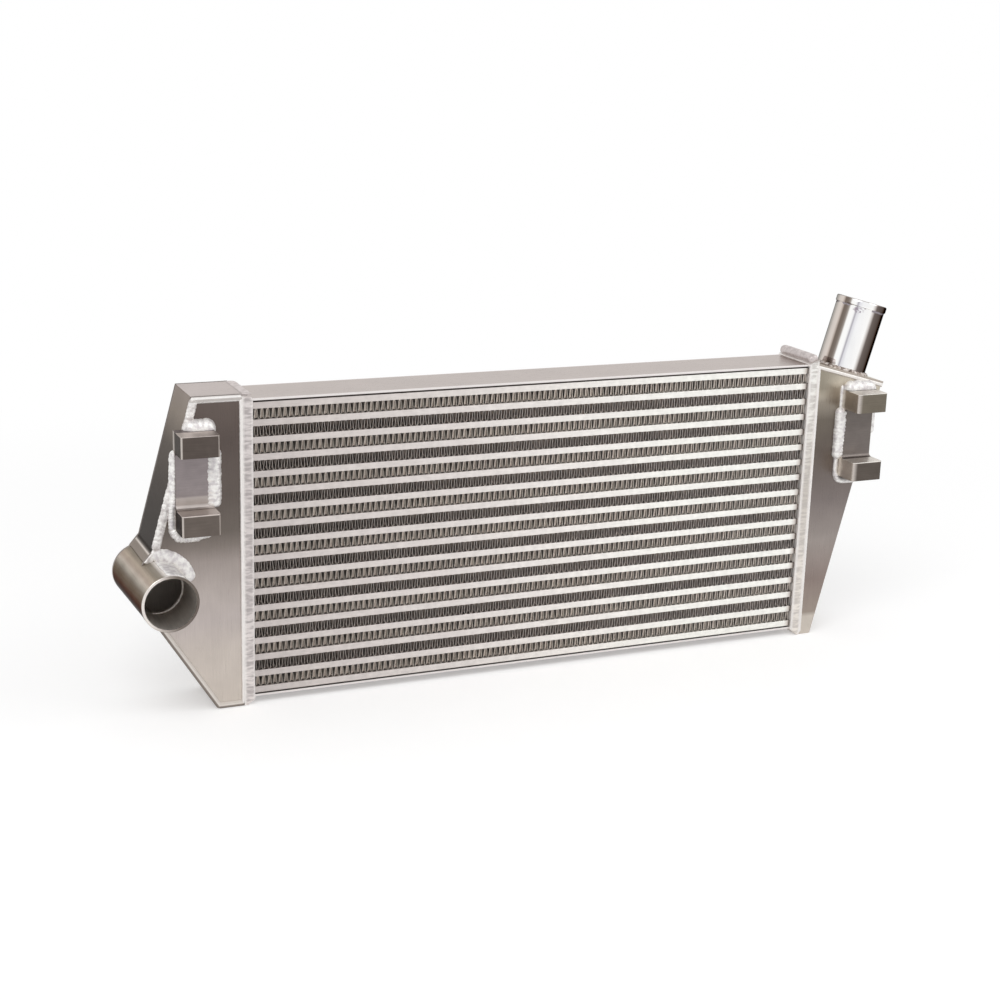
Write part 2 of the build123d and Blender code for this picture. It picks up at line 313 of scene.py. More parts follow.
sheetGrain = {"stretch": (1.0, 1.0, 0.03), "density": 1.4, "grainShade": 0.10, "patchSize": 30.0, "patchShade": 0.07,
              "roughness": 0.26, "roughSpread": 0.10, "bump": 0.25, "edge": 0.7}
coverGrain = dict(sheetGrain, stretch=(0.05, 1.0, 1.0), patchShade=0.05)
wallGrain = dict(sheetGrain, grainShade=0.14)
barGrain = {"stretch": (0.08, 1.0, 1.0), "density": 0.9, "grainShade": 0.13, "patchSize": 7.0, "patchShade": 0.09,
            "roughness": 0.30, "roughSpread": 0.12, "bump": 0.35, "edge": 0.8}
weldGrain = {"stretch": (1.0, 1.0, 1.0), "density": 0.5, "grainShade": 0.05, "patchSize": 9.0, "patchShade": 0.04,
             "roughness": 0.36, "roughSpread": 0.14, "bump": 0.45, "edge": 0.4}
jawGrain = {"stretch": (0.04, 1.0, 1.0), "density": 1.3, "grainShade": 0.16, "patchSize": 12.0, "patchShade": 0.10,
            "roughness": 0.32, "roughSpread": 0.10, "bump": 0.3, "edge": 0.3}
tubeGrain = {"stretch": (1.0, 0.05, 1.0), "density": 0.9, "grainShade": 0.12, "patchSize": 22.0, "patchShade": 0.10,
             "roughness": 0.22, "roughSpread": 0.10, "bump": 0.2, "edge": 0.4}
polishGrain = {"stretch": (0.25, 0.25, 0.05), "density": 0.8, "grainShade": 0.04, "patchSize": 26.0,
               "patchShade": 0.03, "roughness": 0.045, "roughSpread": 0.03, "bump": 0.05, "edge": 0.4}
finGrain = {"stretch": (1.0, 0.3, 1.0), "density": 0.25, "grainShade": 0.22, "patchSize": 26.0, "patchShade": 0.14,
            "roughness": 0.34, "roughSpread": 0.15, "bump": 0.05, "edge": 0.1}


def makeBandedMetal(name, axis, colours, grain, edge=0.65):  # colours that change along one axis
    mat, tree, shader, place = metal(name, edge)
    dress(tree, shader, place, ramp(tree, axes(tree, place)[axis], colours), grain)
    return mat


# Core: passages and cover plates

barLightAndShade = (  # painted light, brighter to the right, and painted shade, dark where it meets the right header
    (0, (204, 196, 193)), (60, (218, 210, 206)), (200, (231, 224, 220)), (330, (248, 243, 238)),
    (430, (255, 253, 247)), (577, (255, 254, 248)), (581.5, (214, 206, 199)), (583.5, (96, 86, 79)))
barMetal = makeBandedMetal("brightBar", "X", barLightAndShade, barGrain)
cover = {
    "across": ((0, (238, 233, 231)), (0.8, (238, 233, 231)), (1.6, (184, 175, 171)), (54.4, (184, 175, 171)),
               (55.2, (238, 233, 231)), (56, (238, 233, 231))),
    # colour of the step, painted shade
    "step": (74, 66, 62),
    "stepDepth": 2.0,
    "stepSoftness": 0.3,
}


def makeCoverMetal():  # bright front edge, painted shade on the step below it
    mat, tree, shader, place = metal("coverPlate", 1.0)
    spot = axes(tree, place)
    top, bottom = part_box("core_top_plate")[1][2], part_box("core_bottom_plate")[0][2]
    fromMiddle = distanceFrom(tree, spot["Z"], (top + bottom) / 2 / mm)
    step = (top - bottom) / 2 / mm - cover["stepDepth"]
    plate = between(tree, fromMiddle, step - cover["stepSoftness"], step + cover["stepSoftness"])
    colour = mix(tree, plate, paint(*cover["step"]), ramp(tree, spot["Y"], cover["across"]))
    dress(tree, shader, place, colour, coverGrain)
    return mat


# Tanks

topColours = (
    (-4, (222, 216, 214)), (-1.4, (222, 216, 214)), (-0.6, (183, 173, 170)), (30, (186, 176, 173)),
    (56.6, (183, 173, 170)), (58, (222, 216, 214)))
topMetal = makeBandedMetal("topPlate", "Y", topColours, coverGrain, 1.0)
leftPlate = {
    # painted reflection, lighter towards the bottom and darker towards the top
    "upwards": ((0, (212, 202, 192)), (57, (202, 192, 184)), (86, (191, 181, 177)), (115, (181, 171, 166)),
                (143, (160, 150, 145)), (158, (132, 123, 117)), (172, (111, 103, 97)), (205, (102, 93, 88)),
                (256, (97, 87, 83)), (296, (108, 97, 92))),
    # painted light on the faces inside the tank
    "inside": (206, 199, 193),
    "insideMetallic": 0.1,
    "insideFrom": 0.6,
    "insideTo": 0.9,
}
leftWallShadeAndHighlight = (  # the bright line at 155 is a painted highlight on the wall's bend; above it painted shade, lighter again towards the top
    (0, (170, 161, 155)), (110, (176, 166, 156)), (140, (164, 154, 144)), (153.8, (152, 142, 133)),
    (154.4, (240, 232, 224)), (155.6, (240, 232, 224)), (156.2, (36, 31, 28)), (160, (32, 28, 25)),
    (185, (37, 32, 28)), (211, (57, 50, 45)), (248, (85, 77, 70)), (277, (148, 137, 126)), (296, (160, 148, 140)))
leftWallMetal = makeBandedMetal("leftTankWall", "Z", leftWallShadeAndHighlight, wallGrain)
rightPlate = {
    # painted reflection, changing with height
    "upwards": ((0, (166, 155, 146)), (24, (160, 148, 139)), (60, (145, 131, 125)), (104, (158, 149, 144)),
                (147, (130, 121, 118)), (201, (108, 99, 93)), (233, (114, 106, 97)), (252, (160, 151, 139)),
                (258, (188, 179, 165)), (264, (203, 194, 178)), (272, (207, 198, 182)), (284, (176, 168, 154)),
                (296, (176, 168, 154))),
    # painted shade beside the header
    "shadeBesideHeader": (160, 152, 138),
    "besideHeaderX": (621.0, 601.0),
    "besideHeaderZ": (256.0, 266.0),
    # painted reflection at the plate's foot
    "foot": (208, 199, 189),
    "footZ": (24.0, 19.0),
    "footY": (-0.5, -1.5),
}


def makeLeftPlateMetal():  # painted reflection on the outer faces, darker towards the top; the faces inside the tank are dull and painted light
    mat, tree, shader, place = metal("leftTankPlate")
    spot = axes(tree, place)
    half = coreDepth / 2
    inside = between(tree, distanceFrom(tree, spot["Y"], half),
                     half - leftPlate["insideFrom"], half - leftPlate["insideTo"])
    colour = mix(tree, inside, ramp(tree, spot["Z"], leftPlate["upwards"]), paint(*leftPlate["inside"]))
    dress(tree, shader, place, colour, sheetGrain)
    tree.links.new(scaled(tree, inside, 1.0, leftPlate["insideMetallic"]), shader.inputs["Metallic"])
    return mat


def makeRightPlateMetal():  # painted reflection up the plate, painted shade beside the header, painted reflection bright at its foot
    mat, tree, shader, place = metal("rightTankPlate", 0.9)
    x, y, z = axes(tree, place)
    beside = times(tree, between(tree, x, *rightPlate["besideHeaderX"]),
                   between(tree, z, *rightPlate["besideHeaderZ"]))
    colour = mix(tree, beside, ramp(tree, z, rightPlate["upwards"]), paint(*rightPlate["shadeBesideHeader"]))
    foot = times(tree, between(tree, z, *rightPlate["footZ"]), between(tree, y, *rightPlate["footY"]))
    dress(tree, shader, place, mix(tree, foot, colour, paint(*rightPlate["foot"])), sheetGrain)
    return mat


# Weld metals

weldColours = {
    "bright": ((255, 253, 250), (222, 217, 218)),
    "dull": ((216, 207, 205), (196, 187, 185)),
    "brownish": ((168, 154, 145), (104, 91, 84)),
    "fleck": (236, 228, 222),
}
weldPatch = (4.6, 0.25, 0.95)  # size, then where the patches start and end
fleckPatch = (2.6, 0.6, 0.72)
fleckShare = 0.7
leftSeam = {
    "lumpy": ((252, 249, 246), (214, 208, 206)),
    "lowerEdge": (0.842, 0.0, 0.539),
    "lowerEdgeOffset": 30.3,
    "lowerBand": ((0, (124, 114, 106)), (2.0, (146, 136, 128)), (2.8, (236, 229, 222)), (4.2, (224, 216, 208)),
                  (6, (206, 197, 189))),
    "lowerEnds": (104, 112),
    "topBand": ((290, (230, 226, 224)), (291.5, (252, 249, 247)), (292.8, (198, 192, 188)),
                (294.3, (198, 192, 188)), (295, (250, 248, 246)), (296.2, (240, 236, 233)), (297, (132, 122, 117))),
    "topStarts": (289, 291),
}
rightSeam = {
    "slope": (0.275, 0.0, 0.9614),
    "top": 444.9,
    "band": ((-1, (166, 155, 146)), (1.6, (176, 166, 156)), (2.4, (252, 248, 244)), (4.4, (252, 248, 244)),
             (5.4, (196, 187, 178))),
}
header = {
    "left": ((0, (244, 236, 233)), (120, (224, 216, 214)), (220, (222, 214, 212)), (292, (228, 221, 219)),
             (296.5, (180, 170, 166))),
    "right": ((0, (250, 243, 235)), (90, (238, 231, 223)), (160, (212, 205, 197)), (240, (255, 252, 246)),
              (292, (255, 254, 250)), (296.5, (180, 170, 166))),
    # greys for painted shade in the ripple valleys
    "leftGrey": (152, 144, 144),
    "rightGrey": (190, 183, 178),
    "greyShare": 0.62,
    "greyPatch": (5.0, 0.15, 0.85),
    "greyStretch": (0.45, 1.0, 1.9),
    "edge": (250, 246, 243),
    "fromCore": 5.25,
    "halfWidth": 5.0,
    "topEdge": (294.0, 295.5),
    "changeover": (200, 400),
}


def weldColour(tree, place, colours):
    bright, dull = colours
    return mix(tree, speckle(tree, place, *weldPatch), paint(*bright), paint(*dull))


def makeWeldMetal(name, colours, metallic):
    mat, tree, shader, place = metal(name, 1.0, metallic)
    dress(tree, shader, place, weldColour(tree, place, colours), weldGrain)
    return mat


def makeOutletWeldMetal():  # dark brown, with a few bright flecks
    mat, tree, shader, place = metal("outletWeldMetal", 0.9, 0.5)
    flecks = times(tree, speckle(tree, place, *fleckPatch), fleckShare)
    brownish = weldColour(tree, place, weldColours["brownish"])
    dress(tree, shader, place, mix(tree, flecks, brownish, paint(*weldColours["fleck"])), weldGrain)
    return mat


def makeLeftSeamMetal():  # lumpy above, dressed flat and two-toned round the lower edge
    mat, tree, shader, place = metal("leftSeamMetal", 1.0, 0.4)
    z = axes(tree, place)["Z"]
    fromLower = calc(tree, "ADD", measuredAlong(tree, place, leftSeam["lowerEdge"]), leftSeam["lowerEdgeOffset"])
    flat = ramp(tree, calc(tree, "MINIMUM", fromLower, z), leftSeam["lowerBand"])
    lumpy = weldColour(tree, place, leftSeam["lumpy"])
    upper = mix(tree, between(tree, z, *leftSeam["topStarts"]), lumpy, ramp(tree, z, leftSeam["topBand"]))
    dress(tree, shader, place, mix(tree, between(tree, z, *leftSeam["lowerEnds"]), flat, upper), weldGrain)
    return mat


def makeRightSeamMetal():  # one white line on a dull band
    mat, tree, shader, place = metal("rightSeamMetal", 1.0, 0.5)
    below = calc(tree, "SUBTRACT", rightSeam["top"], measuredAlong(tree, place, rightSeam["slope"]))
    dress(tree, shader, place, ramp(tree, below, rightSeam["band"]), weldGrain)
    return mat


def makeHeaderMetal():  # white edges; greyer marks in the rippled middle are painted shade of the ripple valleys
    mat, tree, shader, place = metal("headerMetal", 1.0, 0.5)
    spot = axes(tree, place)
    x, z = spot["X"], spot["Z"]
    isRight = between(tree, x, *header["changeover"])
    base = mix(tree, isRight, ramp(tree, z, header["left"]), ramp(tree, z, header["right"]))
    grey = mix(tree, isRight, paint(*header["leftGrey"]), paint(*header["rightGrey"]))
    stretched = node(tree, "Mapping", None, {"Vector": place, "Scale": header["greyStretch"]}).outputs[0]
    marks = times(tree, speckle(tree, stretched, *header["greyPatch"]), header["greyShare"])
    onLeft = hump(tree, x, -header["fromCore"], header["halfWidth"])
    onRight = hump(tree, x, coreLength + header["fromCore"], header["halfWidth"])
    middle = calc(tree, "MAXIMUM", calc(tree, "MAXIMUM", onLeft, onRight), between(tree, z, *header["topEdge"]))
    colour = mix(tree, middle, paint(*header["edge"]), mix(tree, marks, base, grey))
    dress(tree, shader, place, colour, weldGrain)
    return mat


# Side brackets

# the side colours and jaw top colours are painted shade and light, the corner sets a painted highlight's width
brackets = {
    "left": {"middle": -55.5, "height": 222.6, "jaws": ((195.6, (110, 101, 95)), (248.6, (96, 87, 82))),
             "lowerEdge": 196.6, "web": ((196, (206, 197, 192)), (203, (194, 185, 180)), (206.5, (190, 181, 177)),
                                         (208.5, (152, 143, 143)), (248, (142, 133, 134))),
             "sides": ((50, 43, 39), (50, 43, 39)), "sideBack": (196, 188, 182), "corner": 1.8, "cornerEnd": 20.0,
             "litJawTop": (226, 216, 210)},
    "right": {"middle": 643.5, "height": 218.6, "jaws": ((191.6, (100, 92, 86)), (244.6, (124, 116, 104))),
              "lowerEdge": 192.6, "web": ((192, (128, 120, 116)), (244, (112, 105, 101))),
              "sides": ((252, 243, 232), (186, 174, 163)), "sideBack": (236, 229, 220), "corner": 5.5,
              "cornerEnd": 0.0, "litJawTop": (255, 250, 243)},
}
bracketShape = {  # where each colour turns into the next
    "halfWidth": 17.5,
    "sideFace": (17.2, 17.45),
    "sideSpan": 30,
    "webFront": (-15.0, -11.0),
    "back": (-9.0, -6.5),
    "cornerInner": 16.4,
    "cornerFront": (-29.9, -30.5),
    "edgeFront": (-30.5, -31.4),
    "edgeWidth": 1.1,
    "lowerJawTop": -26.0,
    "lowerJawWidth": 0.7,
    "upperJawTop": (45.0, 45.3),
    "jawTopFront": (-12.0, -14.0),
    # painted highlight on the front corners and edges
    "paintedHighlight": (206, 197, 190),
}


def makeBracketMetal(name, look):  # dark jaws, side faces painted with their shade and light, painted highlights on the front corners, lower edge and jaw tops, paler web
    shape = bracketShape
    mat, tree, shader, place = metal(name)
    x, y, z = axes(tree, place)
    off = calc(tree, "SUBTRACT", x, look["middle"])
    aside = calc(tree, "ABSOLUTE", off)
    colour = mix(tree, between(tree, y, *shape["webFront"]), ramp(tree, z, look["jaws"]), ramp(tree, z, look["web"]))
    # painted shade and light on the side faces
    low, high = look["height"] - shape["sideSpan"], look["height"] + shape["sideSpan"]
    sides = ramp(tree, z, tuple(zip((low, high), look["sides"])))
    sides = mix(tree, between(tree, y, *shape["back"]), sides, paint(*look["sideBack"]))
    colour = mix(tree, between(tree, aside, *shape["sideFace"]), colour, sides)
    # painted highlights on the front corners and the lower jaw's front edge
    corner = between(tree, aside, shape["halfWidth"] - look["corner"], shape["cornerInner"])
    corner = times(tree, corner, between(tree, y, *shape["cornerFront"]))
    corner = times(tree, corner, between(tree, off, look["cornerEnd"], look["cornerEnd"] - 1.0))
    edge = times(tree, hump(tree, z, look["lowerEdge"], shape["edgeWidth"]), between(tree, y, *shape["edgeFront"]))
    colour = mix(tree, calc(tree, "MAXIMUM", corner, edge), colour, paint(*shape["paintedHighlight"]))
    # painted light on the tops of the jaws
    upperFrom, upperTo = shape["upperJawTop"]
    tops = calc(tree, "MAXIMUM", hump(tree, z, look["height"] + shape["lowerJawTop"], shape["lowerJawWidth"]),
                between(tree, z, look["height"] + upperFrom, look["height"] + upperTo))
    tops = times(tree, tops, between(tree, y, *shape["jawTopFront"]))
    dress(tree, shader, place, mix(tree, tops, colour, paint(*look["litJawTop"])), jawGrain)
    return mat


# Tubes

inlet = {
    "centre": (-90.5, -2.0, 123.5),
    "turn": 2.0,
    "outer": 25.5,
    "mouth": (46.3, 46.6),
    "bands": (  # painted reflections, highlights and shade by degrees round the tube, 0 to the right and 90 upwards; the bright band from 30 to 98 is partly weld filler and partly painted reflection
        (-180, (170, 146, 138)), (-172, (158, 134, 128)), (-163, (142, 122, 114)), (-140, (120, 108, 100)),
        (0, (150, 140, 131)), (30, (255, 249, 242)), (94, (255, 249, 243)), (98, (240, 233, 226)),
        (104, (164, 154, 141)), (112, (160, 150, 136)), (118, (178, 166, 151)), (125, (216, 202, 186)),
        (133, (214, 199, 186)), (140, (234, 222, 210)), (148, (208, 200, 189)), (156, (174, 164, 154)),
        (164, (170, 158, 146)), (172, (172, 158, 148)), (180, (170, 146, 138))),
    # painted highlight on the rim's left side, painted shade on its right side
    "rim": (
        (-180, (238, 231, 226)), (-135, (232, 225, 219)), (-105, (190, 181, 174)), (-70, (128, 119, 112)),
        (-30, (112, 103, 97)), (30, (116, 107, 100)), (75, (128, 119, 111)), (92, (176, 167, 159)),
        (112, (232, 225, 219)), (180, (238, 231, 226))),
    # painted light in the bore
    "bore": (
        (-50, (246, 240, 234)), (-46, (244, 237, 230)), (-6, (240, 232, 224)), (-4, (244, 237, 231)),
        (-2, (232, 225, 219)), (0, (206, 197, 190)), (50, (190, 181, 173))),
    "boreFrom": (0.6, 0.9),
    "roughness": (0.26, 0.5),
    "filler": (62.0, 66.0),
    "fillerMetallic": 0.12,
}
outlet = {
    "centre": (641.5, 28.0, 279.22),
    "slope": 16.0,
    "outer": 25.5,
    "wall": 2.0,
    "reach": 73.5,
    "inside": 3.0,
    "beadHeight": 1.0,
    "beadLength": 7.0,
    "facing": (-0.569, -0.806, 0.163),
    "bands": (  # painted reflection bands by degrees round the tube from its front
        (-180, (160, 150, 143)), (-120, (196, 188, 182)), (-90, (255, 253, 250)), (-76, (246, 243, 238)),
        (-66, (208, 202, 195)), (-58, (218, 209, 202)), (-46, (218, 208, 200)), (-41, (186, 173, 164)),
        (-37.5, (116, 104, 95)), (-29, (124, 113, 105)), (-24, (160, 151, 144)), (-20.5, (254, 253, 251)),
        (-11, (254, 254, 253)), (-8, (234, 233, 234)), (-6.4, (176, 173, 180)), (-4.6, (182, 180, 187)),
        (-3, (222, 221, 226)), (5, (246, 246, 247)), (29, (255, 254, 252)), (35, (205, 198, 194)),
        (40, (110, 100, 95)), (50, (98, 88, 83)), (58, (96, 87, 83)), (66, (84, 75, 70)), (74, (66, 58, 54)),
        (90, (60, 54, 50)), (115, (120, 112, 106)), (180, (160, 150, 143))),
    "bore": (150, 141, 134),
    "rim": (178, 170, 165),
    "boreFrom": (0.9, 1.2),
    "rimFrom": (0.7, 0.4),
    # painted shade just under the bead, in patches
    "shadeUnderBead": {"colour": (150, 143, 148), "below": 7.6, "height": 1.3, "patch": (5.0, 0.4, 0.6)},
    "stain": {"colour": (148, 134, 146), "below": 10.5, "height": 3.4, "degrees": (-2.0, 15.0),
              "patch": (2.4, 0.42, 0.56), "share": 0.8},
}
outletSlope = math.radians(outlet["slope"])
outletUp = Vector((math.sin(outletSlope), 0.0, math.cos(outletSlope)))
outletAcross = Vector((math.cos(outletSlope), 0.0, -math.sin(outletSlope)))
outletFront = Vector(outlet["facing"]).normalized()
outletTurn = Matrix((outletUp.cross(outletFront), outletUp, outletFront)).transposed()


def tubeAxes(tree, centre, turn):  # metres from a tube's centre, with y along the tube
    moved = node(tree, "Mapping", {"vector_type": "TEXTURE"},
                 {"Vector": node(tree, "TexCoord").outputs["Object"], "Location": at(*centre), "Rotation": turn})
    spot = axes(tree, moved.outputs[0])
    radius = lengthOf(tree, node(tree, "CombineXYZ", None, {"X": spot["X"], "Z": spot["Z"]}).outputs[0])
    return spot, radius


def degreesFrom(tree, first, second):
    return calc(tree, "DEGREES", calc(tree, "ARCTAN2", first, second))


def makeInletMetal():
    mat, tree, shader, place = metal("inletTube", 0.14)
    turn = math.radians(inlet["turn"])
    spot, radius = tubeAxes(tree, inlet["centre"], (0.0, 0.0, turn))
    degrees = degreesFrom(tree, spot["Z"], spot["X"])
    inner = between(tree, radius, *((inlet["outer"] - inwards) * mm for inwards in inlet["boreFrom"]))
    depth = axes(tree, place)["Y"]
    # painted reflections outside, painted light in the bore, painted highlight and shade on the rim
    colour = mix(tree, inner, ramp(tree, degrees, inlet["bands"]), ramp(tree, depth, inlet["bore"]))
    rim = between(tree, measuredAlong(tree, place, (math.sin(turn), -math.cos(turn), 0.0)), *inlet["mouth"])
    colour = mix(tree, rim, colour, ramp(tree, degrees, inlet["rim"]))
    dress(tree, shader, place, colour, tubeGrain)
    filler = times(tree, hump(tree, degrees, *inlet["filler"]), between(tree, inner, 0.5, 0.4))
    tree.links.new(scaled(tree, filler, 1.0, inlet["fillerMetallic"]), shader.inputs["Metallic"])
    tree.links.new(scaled(tree, inner, *inlet["roughness"]), shader.inputs["Roughness"])
    return mat


def makeOutletMetal():  # painted reflection bands, as a polished tube mirrors them
    mat, tree, shader, place = metal("polishedTube", 0.2)
    outer, reach, shadeUnderBead, stain = outlet["outer"], outlet["reach"], outlet["shadeUnderBead"], outlet["stain"]
    spot, radius = tubeAxes(tree, outlet["centre"], outletTurn.to_euler())
    height = spot["Y"]
    degrees = degreesFrom(tree, spot["X"], spot["Z"])
    inner = between(tree, radius, *((outer - inwards) * mm for inwards in outlet["boreFrom"]))
    colour = mix(tree, inner, ramp(tree, degrees, outlet["bands"]), paint(*outlet["bore"]))
    rim = between(tree, height, *((reach - below) * mm for below in outlet["rimFrom"]))
    colour = mix(tree, rim, colour, paint(*outlet["rim"]))
    stained = times(tree, hump(tree, height, (reach - stain["below"]) * mm, stain["height"] * mm),
                    hump(tree, degrees, *stain["degrees"]))
    stained = times(tree, stained, speckle(tree, place, *stain["patch"]))
    colour = mix(tree, times(tree, stained, stain["share"]), colour, paint(*stain["colour"]))
    # painted shade just under the bead, broken into patches
    shadedUnderBead = times(tree, hump(tree, height, (reach - shadeUnderBead["below"]) * mm, shadeUnderBead["height"] * mm),
                    speckle(tree, place, *shadeUnderBead["patch"]))
    dress(tree, shader, place, mix(tree, shadedUnderBead, colour, paint(*shadeUnderBead["colour"])), polishGrain)
    return mat


# Finishes go on the solid parts

def coat(piece, mats):
    piece.data.materials.clear()
    for mat in mats:
        piece.data.materials.append(mat)


coverMetal = makeCoverMetal()
leftPlateMetal = makeLeftPlateMetal()
rightPlateMetal = makeRightPlateMetal()
weldMetal = makeWeldMetal("weldMetal", weldColours["bright"], 0.35)
dullWeldMetal = makeWeldMetal("dullWeldMetal", weldColours["dull"], 0.5)
headerMetal = makeHeaderMetal()
outletWeldMetal = makeOutletWeldMetal()
leftSeamMetal = makeLeftSeamMetal()
rightSeamMetal = makeRightSeamMetal()
leftBracketMetal = makeBracketMetal("leftBracketMetal", brackets["left"])
rightBracketMetal = makeBracketMetal("rightBracketMetal", brackets["right"])
inletMetal = makeInletMetal()
outletMetal = makeOutletMetal()

solidFinishes = {
    "charge_tube": barMetal,
    "core_top_plate": coverMetal,
    "core_bottom_plate": coverMetal,
    "left_header_plate": headerMetal,
    "right_header_plate": headerMetal,
    "left_tank_front_plate": leftPlateMetal,
    "left_tank_back_plate": leftPlateMetal,
    "left_tank_top_plate": topMetal,
    "left_tank_outer_wall": leftWallMetal,
    "left_tank_lower_wall": leftWallMetal,
    "left_tank_seam_welds": leftSeamMetal,
    "right_tank_shell": rightPlateMetal,
    "right_tank_top_plate": rightPlateMetal,
    "right_tank_floor_plate": rightPlateMetal,
    "right_tank_seam_welds": rightSeamMetal,
    "inlet_tube": inletMetal,
    "left_bracket": leftBracketMetal,
    "right_bracket": rightBracketMetal,
}
for name, piece in nodes.items():
    mat = solidFinishes.get("charge_tube" if name.startswith("charge_tube") else name)
    if mat:
        coat(piece, [mat])
print("stage: finishes on the solid parts")


# Modelling

def pick(piece, test):  # in edit mode, select the points that pass a test
    mesh = bmesh.from_edit_mesh(piece.data)
    for vertex in mesh.verts:
        vertex.select_set(test(vertex.co))
    mesh.select_flush_mode()
    bmesh.update_edit_mesh(piece.data)


def apply(piece, name):
    bpy.context.view_layer.objects.active = piece
    bpy.ops.object.modifier_apply(modifier=name)


def only(pieces):  # select these pieces and nothing else
    bpy.ops.object.select_all(action="DESELECT")
    for piece in pieces:
        piece.select_set(True)
    bpy.context.view_layer.objects.active = pieces[0]


def copyOf(piece, name):
    twin = piece.copy()
    twin.data = piece.data.copy()
    twin.name = name
    bpy.context.scene.collection.objects.link(twin)
    return twin


def joined(pieces, name):
    only(pieces)
    if len(pieces) > 1:
        bpy.ops.object.join()
    pieces[0].name = name
    return pieces[0]


def repeatAlong(piece, count, step):
    array = piece.modifiers.new("repeat", "ARRAY")
    array.count = count
    array.use_relative_offset = False
    array.use_constant_offset = True
    array.constant_offset_displace = (step, 0.0, 0.0)
    array.use_merge_vertices = True
    array.merge_threshold = 0.01 * mm
    apply(piece, "repeat")


def finishPiece(piece, slot, mats, *replaced):
    only([piece])
    bpy.ops.object.transform_apply(location=True, rotation=True, scale=True)
    bpy.ops.object.shade_smooth_by_angle(angle=math.radians(50))
    coat(piece, mats)
    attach(piece, "root")
    if replaced:
        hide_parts(*replaced)


# Cooling fins: folded sheet in three strips. The lighter rows have louvres between them and are painted lit; the
# other rows are painted shaded.

fin = {
    "period": 5.494,
    "rowHeight": 10.0,
    "thickness": 0.35,
    "clearance": 0.1,
    "plainStrips": ((0.8, 4.3, 0.0), (4.5, 51.5, 0.5), (51.7, 55.2, 0.0)),  # front, back, waves shifted
    "louvredStrips": ((0.9, 1.7, 0.0), (4.6, 51.4, 0.0), (54.3, 55.1, 0.0)),
    "louvreDepths": (2.9, 53.1),
    "louvreWidth": 2.9,
    "louvreHeight": 8.2,
    "louvreTaper": 0.8,
    "louvreTurn": 23.0,
    "endGap": 0.8,
    "fold": ((0.12, 0.0), (0.18, 0.12), (0.29, 0.86), (0.38, 1.0), (0.62, 1.0),
             (0.71, 0.86), (0.82, 0.12), (0.88, 0.0), (1.0, 0.0)),
    "unevenness": 1.4,
    "unevenSize": 16.0,
}
finColours = {  # near the front, a little way in, deep inside; painted shade that deepens inwards, with the louvred rows painted lit and their cut edges painted dark as shade
    "finLitInside": ((250, 244, 237), (255, 252, 248), (236, 228, 221)),
    "finLitOutside": ((248, 240, 232), (255, 252, 248), (226, 217, 209)),
    "finLitRowEdge": ((98, 87, 80), (116, 104, 98), (90, 80, 76)),
    "finShadedInside": ((234, 224, 218), (216, 206, 200), (160, 150, 144)),
    "finShadedOutside": ((246, 237, 231), (226, 216, 210), (160, 150, 144)),
    "finShadedRowEdge": ((176, 166, 159), (150, 139, 132), (110, 100, 95)),
}
finDepths = {"near": 2, "mid": 10, "deep": 24}
# painted light, brighter to the right
finPaintedLightLeftToRight = ((217, 214, 211), (245, 243, 241), (255, 255, 255))


def makeFinMetal(name):
    near, mid, deep = finColours[name]
    mat, tree, shader, place = metal(name)
    spot = axes(tree, place)
    half = coreDepth / 2
    # painted shade deeper in the core, painted light brighter to the right
    inwards = ramp(tree, distanceFrom(tree, spot["Y"], half), (
        (half - finDepths["deep"], deep), (half - finDepths["mid"], mid),
        (half - finDepths["near"], near), (half, near)))
    lighter = ramp(tree, spot["X"], tuple(zip((0, coreLength / 2, coreLength), finPaintedLightLeftToRight)))
    dress(tree, shader, place, mix(tree, 1.0, inwards, lighter, "MULTIPLY"), finGrain)
    return mat


def countWaves():
    return round((coreLength - 2 * fin["endGap"]) / fin["period"])


def modelFinStrip(near, far, shift):
    wave = fin["period"] * mm
    height = (fin["rowHeight"] - fin["thickness"] - 2 * fin["clearance"]) * mm
    fold = fin["fold"]
    bpy.ops.object.select_all(action="DESELECT")
    bpy.ops.mesh.primitive_plane_add(size=1.0)
    strip = bpy.context.object
    strip.scale = (fold[0][0] * wave, (far - near) * mm, 1.0)
    bpy.ops.object.transform_apply(scale=True)
    bpy.ops.object.mode_set(mode="EDIT")
    pick(strip, lambda point: point.x > 0)
    for (x0, z0), (x1, z1) in zip(fold, fold[1:]):
        bpy.ops.mesh.extrude_region_move(
            TRANSFORM_OT_translate={"value": ((x1 - x0) * wave, 0.0, (z1 - z0) * height)})
    bpy.ops.object.mode_set(mode="OBJECT")
    waves = countWaves() - math.ceil(shift)
    repeatAlong(strip, waves, wave)
    strip.location = ((fold[0][0] - waves) / 2 * wave, ((near + far) - coreDepth) / 2 * mm, -height / 2)
    bpy.ops.object.transform_apply(location=True)
    return strip


def modelLouvres(depth):
    wave = fin["period"] * mm
    bpy.ops.object.select_all(action="DESELECT")
    bpy.ops.mesh.primitive_plane_add(size=1.0, rotation=(math.pi / 2, 0.0, math.radians(fin["louvreTurn"])))
    louvre = bpy.context.object
    louvre.scale = (fin["louvreWidth"] * mm, fin["louvreHeight"] * mm, 1.0)
    bpy.ops.object.mode_set(mode="EDIT")
    pick(louvre, lambda point: point.y > 0)
    bpy.ops.transform.resize(value=(fin["louvreTaper"], 1.0, 1.0), orient_type="LOCAL")
    bpy.ops.object.mode_set(mode="OBJECT")
    bpy.ops.object.transform_apply(rotation=True, scale=True)
    waves = countWaves()
    repeatAlong(louvre, waves, wave)
    louvre.location = ((1 - waves) / 2 * wave, (depth - coreDepth / 2) * mm, 0.0)
    bpy.ops.object.transform_apply(location=True)
    return louvre


def modelFinRow(strips, louvres):
    parts = [modelFinStrip(*strip) for strip in strips] + [modelLouvres(depth) for depth in louvres]
    return joined(parts, "finRow")


